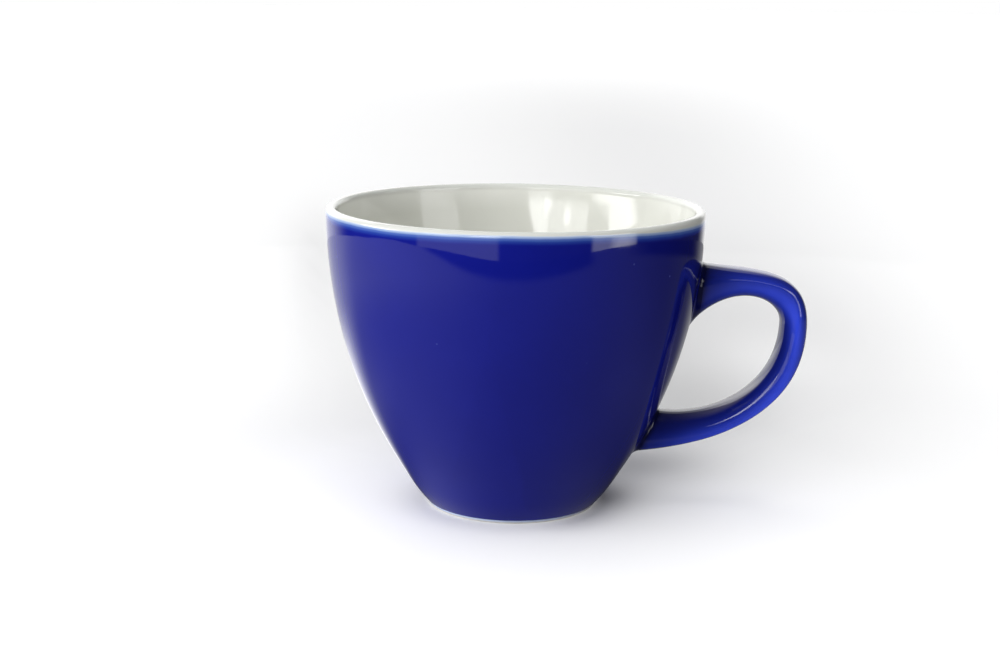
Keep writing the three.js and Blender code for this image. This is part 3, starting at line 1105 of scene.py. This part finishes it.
        # Painted reflection on the lower limb's finger face
        painted_reflection = smoothstep((self.painted_reflection_edge.at(place), self.painted_reflection_full), side)
        return {
            "root": bell(np.maximum(run - self.pool_core, 0.0), self.pool_fade),
            "painted_light": painted_light * (1.0 - self.painted_root_shade_share * bell(run, self.painted_root_shade_reach.at(place))),
            "painted_reflection": painted_reflection * self.painted_reflection_start.at(place) * self.painted_reflection_end.at(place),
        }

    def build_cove(self, root: Root, name: str) -> Piece:
        """Fills the angle between bar and wall with a hollow cove.

        Each point of the root's outline carries a quadratic curve that starts along the wall,
        turns at the corner and ends along the bar. The piece is closed behind, out of sight.

        Args:
            root: Which root the cove runs round.
            name: Name of the piece.

        Returns:
            The closed ring of glaze.
        """
        rise = self.cove / self.half_length(root)
        share = np.array([rise if root is Root.UPPER else 1.0 - rise])
        foot = self.root_ring(root, self.cove, -self.cove_bed)
        crest = self.rings(root, share, -self.cove_bed)[0]
        v = np.linspace(0.0, 1.0, self.cove_rows)[:, None, None]
        behind = (
            self.rings(root, share, -self.cove_back)[0],
            self.root_ring(root, -self.cove_back, -self.sunk),
            self.root_ring(root, self.cove, -self.sunk),
        )
        face = quadratic(foot, self.root_ring(root, 0.0, 0.0), crest, v)
        pool = np.concatenate([smoothstep(self.pool_rise, v[:, 0]), np.ones((len(behind), 1))])
        return skin(name, np.vstack([face, np.stack(behind)]), Closing.LOOP, {"pool": pool})

    def dress(self) -> None:
        """Builds the handle's four pieces and gives each its finish."""
        clay = bpy.data.materials["bare_porcelain"]
        pooled = PooledGlaze().material("pooled_glaze")
        settle(self.build_clay(), clay, "porcelain", "handle")
        settle(self.build_coat(), HandleGlaze().material("handle_glaze"), "blue_glaze", "handle_glaze")
        settle(self.build_cove(Root.UPPER, "upper_cove"), pooled, "pooled_glaze", "upper_bead")
        settle(self.build_cove(Root.LOWER, "lower_cove"), pooled, "pooled_glaze", "lower_bead")


@dataclass(frozen=True)
class SoftShade:
    """A soft oval shade on the table, or a paler place where its depth is negative."""

    depth: float
    x: float
    y: float
    wide: float
    long: float

    def at(self, x: Points, y: Points) -> Points:
        """The shade over the table: a bell curve across times one along."""
        return self.depth * bell(x - self.x, self.wide) * bell(y - self.y, self.long)


@dataclass(frozen=True)
class LongShade:
    """A shade that runs away from the viewer, and shifts, widens and weakens with the distance."""

    far_depth: float
    near_depth: float
    fade: float
    x: float
    swing: float
    shift: float
    wide: float
    widening: float
    rise: Span
    start: float = 140.0

    def at(self, x: Points, y: Points) -> Points:
        """The shade over the table: a bell curve across, as deep as a bell curve of the distance.

        Args:
            x: Places across the table.
            y: Places away from the viewer.

        Returns:
            The shade at each place.
        """
        away = np.maximum(y - self.start, 0.0)
        middle = self.x + self.swing * (1.0 - np.exp(-away / self.fade)) + self.shift * away
        depth = self.far_depth + self.near_depth * bell(away, self.fade)
        return depth * bell(x - middle, self.wide + self.widening * away) * smoothstep(self.rise, y)


@dataclass
class Table:
    """The pale table: a wide flat disc, shaded softly beside and behind the mug."""

    colour: Colour = (0.745, 0.745, 0.750)
    dim: Colour = (0.300, 0.300, 0.300)
    glow: float = 0.40
    glow_colour: Colour = (1.0, 1.0, 1.0)
    roughness: float = 0.7
    specular: float = 0.1
    disc: Disc = Disc(((1.0, 800.0, 200), (830.0, 9000.0, 30)), 240)
    long_shades: tuple[LongShade, ...] = (
        LongShade(0.42, 0.58, 250.0, 60.0, 60.0, 0.0, 80.0, 0.065, (20.0, 150.0)),
        LongShade(0.17, 0.55, 330.0, -20.0, 0.0, -0.05, 60.0, 0.16, (-20.0, 80.0)),
    )
    long_end: Span = (2500.0, 900.0)
    soft_shades: tuple[SoftShade, ...] = (
        SoftShade(0.64, 36.0, 36.0, 21.0, 21.0),
        SoftShade(-0.30, 68.0, 4.0, 24.0, 22.0),
        SoftShade(0.35, 28.0, 4.0, 9.0, 12.0),
        SoftShade(0.36, 57.0, 88.0, 24.0, 45.0),
        SoftShade(-0.28, 95.0, 172.0, 24.0, 55.0),
    )
    streak: float = 0.30
    streak_side: float = -0.119
    streak_wide: float = 0.017
    streak_middle: float = 400.0
    streak_long: float = 170.0
    streak_nearest: float = 100.0
    foot_shade: Drift = Drift(0.35, 0.70, 5.0, 22.0)
    foot_radius: float = 23.0
    foot_wide: float = 7.0

    def shade(self, x: Points, y: Points) -> Points:
        """How dark the table is: long and soft shades, a streak on the left and a ring at the foot.

        The streak is a bell curve across a line of sight, and the ring is one of the distance from
        the foot's edge.

        Args:
            x: Places across the table.
            y: Places away from the viewer.

        Returns:
            The shade at each place, from 0 to a little over 1.
        """
        shade = sum(long.at(x, y) for long in self.long_shades) * smoothstep(self.long_end, y)
        shade = shade + sum(soft.at(x, y) for soft in self.soft_shades)
        far = np.maximum(y + VIEW_DISTANCE, self.streak_nearest)
        across = bell(x - self.streak_side * far, self.streak_wide * far)
        shade = shade + self.streak * across * bell(y - self.streak_middle, self.streak_long)
        return shade + self.foot_shade.at(x) * bell(np.hypot(x, y) - self.foot_radius, self.foot_wide)

    def build(self) -> None:
        """Lays the table, which glows where it is pale and dims where the shade is deep."""
        rings = self.disc.rings()
        shade = self.shade(rings[..., 0], rings[..., 1])
        glow = self.glow * (1.0 - np.minimum(shade, 1.0))
        dim = np.clip(shade - 1.0, 0.0, 1.0)
        floor = skin("table", rings, Closing.OPEN, {"glow": glow, "dim": dim})
        bench = Bench("table_white")
        bench.shade({
            "Base Color": bench.mix(bench.mark("dim"), self.colour, self.dim),
            "Roughness": self.roughness,
            "Specular IOR Level": self.specular,
            "Emission Color": self.glow_colour,
            "Emission Strength": bench.mark("glow"),
        })
        floor.data.materials.append(bench.material)
        floor.visible_glossy = floor.visible_diffuse = floor.visible_shadow = False


@dataclass(frozen=True)
class Window:
    """A bright opening in the room, by its bearing from the viewer's side and its height."""

    left: float
    right: float
    bottom: float
    top: float
    light: float
    slant: float = 0.0
    blur: float = 1.5
    sill: float = 0.0

    def shine(self, bearing: Points, height: Points) -> Points:
        """Light over the room's wall: a box with soft edges, whose right side and sill may lean.

        Each edge is a smoothstep, over the blur in degrees to both sides of a side edge and over twice
        as many millimetres above and below the sill and the top.

        Args:
            bearing: Bearings in degrees.
            height: Heights in millimetres.

        Returns:
            The light at each place.
        """
        right = self.right + self.slant * (height - self.bottom)
        bottom = self.bottom + self.sill * (bearing - self.left)
        beside, level = (-self.blur, self.blur), (-2.0 * self.blur, 2.0 * self.blur)
        across = smoothstep(beside, bearing - self.left) * smoothstep(beside, right - bearing)
        upright = smoothstep(level, height - bottom) * smoothstep(level, self.top - height)
        return self.light * across * upright


@dataclass(frozen=True)
class Sector:
    """A change of the table's sheen over some bearings, which may end and may depend on the reach."""

    gain: float
    start: Span
    end: Span = NO_END
    reach: Span = ANY_REACH

    def at(self, bearing: Points, reach: Points) -> Points:
        """The change over the table: the gain times two smoothsteps across and one outwards."""
        across = smoothstep(self.start, bearing) * smoothstep(self.end, bearing)
        return self.gain * across * smoothstep(self.reach, reach)


@dataclass
class Surroundings:
    """What lights and fills the glaze: a room with windows, the table's sheen and a white surround.

    Bearings count in degrees from the viewer's side, clockwise seen from above.
    """

    windows: tuple[Window, ...] = (
        Window(-56.0, -9.0, -30.0, 38.0, 0.85),
        Window(-54.5, -8.5, 42.0, 138.0, 1.4),
        Window(-54.5, -24.0, 150.0, 260.0, 4.5),
        Window(-24.0, -8.5, 149.0, 178.0, 8.5, slant=-0.4),
        Window(-24.0, -8.5, 178.0, 260.0, 8.5),
        Window(-27.0, -21.5, 148.0, 155.0, 6.0),
        Window(-41.0, -36.0, 155.0, 163.0, 6.0),
        Window(-8.5, -2.0, 205.0, 255.0, 4.0),
        Window(-2.0, 3.0, 205.0, 255.0, 1.5),
        Window(27.0, 43.0, 240.0, 330.0, 2.2),
        Window(-99.0, -56.0, 128.0, 147.0, 6.5),
        Window(-99.0, -72.0, 147.0, 260.0, 6.5),
        Window(43.0, 71.5, -30.0, 40.0, 2.2),
        Window(56.0, 69.0, -30.0, 40.0, 2.8, blur=4.0),
        Window(43.0, 71.5, 40.0, 130.0, 3.4),
        Window(43.0, 71.5, 155.0, 190.0, 2.6, sill=-0.6),
        Window(43.0, 71.5, 190.0, 300.0, 6.5),
    )
    room_bearings: int = 1200
    room_radius: Drift = Drift(325.0, 440.0, 0.0, 85.0)
    room_heights: tuple[Run, ...] = ((-2.0, 60.0, 40), (64.0, 460.0, 100))
    dark: float = 0.04
    back_left_edge: Span = (-112.0, -140.0)
    back_right_start: Drift = Drift(135.0, 143.0, 130.0, 175.0)
    back_right_full: Drift = Drift(155.0, 159.0, 130.0, 175.0)
    back_left: Drift = Drift(1.1, 2.0, 80.0, 180.0)
    back_right: Drift = Drift(1.1, 1.6, 90.0, 160.0)
    back_right_top: Drift = Drift(0.0, -1.0, 215.0, 305.0)
    back_turn: Span = (-6.0, 14.0)
    sheen: float = 0.20
    sheen_disc: Disc = Disc(((1.0, 120.0, 40), (126.0, 460.0, 60)), 180, -0.4)
    sheen_sectors: tuple[Sector, ...] = (
        Sector(0.14, (-40.0, -90.0)),
        Sector(0.28, (-40.0, -90.0), (-140.0, -115.0), (130.0, 260.0)),
        Sector(0.52, (-104.0, -138.0)),
        Sector(0.68, (-104.0, -138.0), reach=(220.0, 110.0)),
        Sector(-0.17, (-146.0, -174.0)),
        Sector(-0.68, (-146.0, -174.0), reach=(220.0, 110.0)),
        Sector(-0.10, (60.0, 100.0)),
        Sector(0.26, (124.0, 146.0)),
        Sector(0.33, (150.0, 180.0)),
    )
    sheen_hidden: tuple[Sector, ...] = (
        Sector(0.75, (-40.0, -90.0), (-116.0, -98.0), (90.0, 35.0)),
        Sector(0.60, (30.0, 80.0), (118.0, 98.0), (90.0, 35.0)),
    )
    ahead: Drift = Drift(0.20, 0.40, 120.0, 260.0)
    ahead_bearing: float = -48.0
    ahead_wide: float = 30.0
    beyond: Sector = Sector(0.85, (60.0, 85.0), (150.0, 125.0), (335.0, 375.0))
    front: Sector = Sector(0.9, (-58.0, -46.0), (47.0, 40.0))
    front_reach: float = 242.0
    front_bend: float = 65.0
    front_middle: float = -2.0
    front_sides: Span = (33.0, 44.0)
    front_soft: float = 18.0
    bounce: float = 1.2
    bounce_disc: Disc = Disc(((0.5, 38.0, 12),), 48, -0.1)
    bounce_place: Span = (98.0, -28.0)
    surround_radius: float = 8500.0
    surround_heights: Span = (-10.0, 5000.0)
    surround_around: int = 64

    @staticmethod
    def wall_of_light(name: str, rings: Points, light: Points) -> Piece:
        """Makes a shining wall whose brightness is laid on its points.

        Args:
            name: Name of the wall.
            rings: Grid of points in millimetres from the cup's axis.
            light: Brightness at each point of the grid.

        Returns:
            The wall, hidden from all rays until some are let through.
        """
        wall = skin(name, rings, Closing.OPEN, {"light": light})
        bench = Bench(name)
        glow = bench.add("ShaderNodeEmission", {"Strength": bench.mark("light")})
        bench.put(bench.tree.nodes["Material Output"].inputs["Surface"], glow.outputs["Emission"])
        wall.data.materials.append(bench.material)
        wall.visible_camera = wall.visible_diffuse = wall.visible_glossy = False
        wall.visible_shadow = wall.visible_transmission = wall.visible_volume_scatter = False
        return wall

    def build_sheen(self) -> None:
        """Lays the light that the table gives back, seen only by the mug.

        It is weak in front and on the right, stronger on the left and strongest behind the cup, with
        sectors that the mug hides close by. In front it ends at a bent line, whose reach grows with
        the square of the bearing, and the table beyond that line is dark.
        """
        rings = self.sheen_disc.rings()
        x, y = rings[..., 0], rings[..., 1]
        bearing, reach = np.degrees(np.arctan2(x, -y)), np.hypot(x, y)
        light = self.sheen + sum(sector.at(bearing, reach) for sector in self.sheen_sectors)
        for sector in self.sheen_hidden:
            light = light * (1.0 - sector.at(bearing, reach))
        light = light + self.ahead.at(reach) * bell(bearing - self.ahead_bearing, self.ahead_wide)
        aside = bearing - self.front_middle
        bend = self.front_bend * (aside / np.where(aside < 0.0, *self.front_sides)) ** 2
        past_front = smoothstep((-self.front_soft, self.front_soft), reach - self.front_reach - bend)
        light = light * (1.0 - self.front.at(bearing, reach) * past_front)
        light = light * (1.0 - self.beyond.at(bearing, reach))
        sheen = self.wall_of_light("sheen", rings, light)
        sheen.visible_glossy = sheen.visible_diffuse = True

    def build_bounce(self) -> None:
        """Lays a patch of light on the table under the handle, which only lights it from below."""
        rings = self.bounce_disc.rings()
        rings[..., :2] += self.bounce_place
        bounce = self.wall_of_light("bounce", rings, np.full((1, 1), self.bounce))
        bounce.visible_diffuse = True

    def build_room(self) -> None:
        """Stands the room's wall round the table, seen only in the glaze.

        The wall's foot swings from near in front of the cup to far at its sides and back. It is
        dark but for the windows and a pale back, whose left and right parts grow with the height.
        """
        bearing = np.linspace(-180.0, 180.0, self.room_bearings, endpoint=False)
        height = np.concatenate([np.linspace(*run) for run in self.room_heights])[:, None]
        radius, turn = self.room_radius.at(np.abs(bearing)), np.radians(bearing)
        x, y, z = np.broadcast_arrays(radius * np.sin(turn), -radius * np.cos(turn), height)
        past_back = np.where(bearing < 0.0, 180.0 + bearing, bearing - 180.0)
        behind = smoothstep(self.back_left_edge, bearing)
        right_edge = (self.back_right_start.at(height), self.back_right_full.at(height))
        behind = behind + smoothstep(right_edge, bearing)
        left = self.back_left.at(height)
        right = self.back_right.at(height) + self.back_right_top.at(height)
        light = self.dark + behind * (right + (left - right) * smoothstep(self.back_turn, past_back))
        light = light + sum(window.shine(bearing[None, :], height) for window in self.windows)
        room = self.wall_of_light("room", np.stack([x, y, z], axis=-1), light)
        room.visible_glossy = True

    def build_surround(self) -> None:
        """Stands a white wall far round the table, seen only by the camera."""
        profile = np.array([(self.surround_radius, height) for height in self.surround_heights])
        rings = revolve(profile, self.surround_around)
        surround = self.wall_of_light("surround", rings, np.ones((1, 1)))
        surround.visible_camera = True

    def build(self) -> None:
        """Sets up all that the glaze mirrors."""
        self.build_sheen()
        self.build_bounce()
        self.build_room()
        self.build_surround()


@dataclass(frozen=True)
class SoftLight:
    """A broad, even light from far off, by its bearing from the viewer's side and its elevation."""

    name: str
    strength: float
    bearing: float
    elevation: float
    spread: float

    def build(self) -> None:
        """Hangs the light, unseen in the glaze."""
        lamp = bpy.data.lights.new(self.name, "SUN")
        lamp.energy = self.strength
        lamp.angle = math.radians(self.spread)
        bearing, elevation = math.radians(self.bearing), math.radians(self.elevation)
        flat = math.cos(elevation)
        toward = Vector((math.sin(bearing) * flat, -math.cos(bearing) * flat, math.sin(elevation)))
        holder = bpy.data.objects.new(self.name, lamp)
        holder.rotation_mode = "QUATERNION"
        holder.rotation_quaternion = (-toward).to_track_quat("-Z", "Y")
        holder.visible_glossy = False
        bpy.context.scene.collection.objects.link(holder)


@dataclass
class Studio:
    """The soft light and the camera."""

    lights: tuple[SoftLight, ...] = (
        SoftLight("window_light", 3.2, -53.0, 16.0, 75.0),
        SoftLight("side_light", 0.55, 57.0, 18.0, 40.0),
        SoftLight("ceiling_light", 1.6, -85.0, 79.0, 50.0),
        SoftLight("table_light", 0.6, 70.0, -40.0, 90.0),
    )
    fill_light: float = 0.05
    fill_colour: Colour = (0.97, 0.985, 1.0)
    camera_place: Place = (0.0, -VIEW_DISTANCE, 135.8)
    camera_pitch: float = 11.92
    camera_yaw: float = -0.49
    camera_roll: float = 0.72
    focal_pixels: float = 1671.0

    def build_lights(self) -> None:
        """Hangs the soft lights and an even fill."""
        for light in self.lights:
            light.build()
        world = bpy.data.worlds.new("daylight")
        world.use_nodes = True
        sky = world.node_tree.nodes["Background"]
        sky.inputs["Color"].default_value = (*self.fill_colour, 1.0)
        sky.inputs["Strength"].default_value = self.fill_light
        bpy.context.scene.world = world

    def build_camera(self) -> None:
        """Sets the camera at the viewing angle, with a slight roll and no shift."""
        turns = ((-self.camera_yaw, "Z"), (90.0 - self.camera_pitch, "X"), (self.camera_roll, "Z"))
        yaw, tilt, roll = (Matrix.Rotation(math.radians(angle), 3, axis) for angle, axis in turns)
        lens = bpy.data.cameras.new("camera")
        lens.sensor_width = SENSOR_WIDTH
        lens.lens = self.focal_pixels * SENSOR_WIDTH / IMAGE_WIDTH
        camera = bpy.data.objects.new("camera", lens)
        camera.rotation_mode = "QUATERNION"
        camera.rotation_quaternion = (yaw @ tilt @ roll).to_quaternion()
        camera.location = np.array(self.camera_place) * MM + axis_offset()
        bpy.context.scene.collection.objects.link(camera)
        bpy.context.scene.camera = camera
        bpy.context.scene.view_settings.view_transform = "Standard"

    def build(self) -> None:
        """Sets the lights and the camera."""
        self.build_lights()
        self.build_camera()


def main() -> None:
    """Builds the mug's pieces in order, then the scene round them."""
    logging.basicConfig(level=logging.INFO, format="%(name)s %(message)s")
    cup = Cup()
    cup.dress()
    Handle(cup).dress()
    Table().build()
    Surroundings().build()
    Studio().build()


if __name__ == "__main__":
    main()
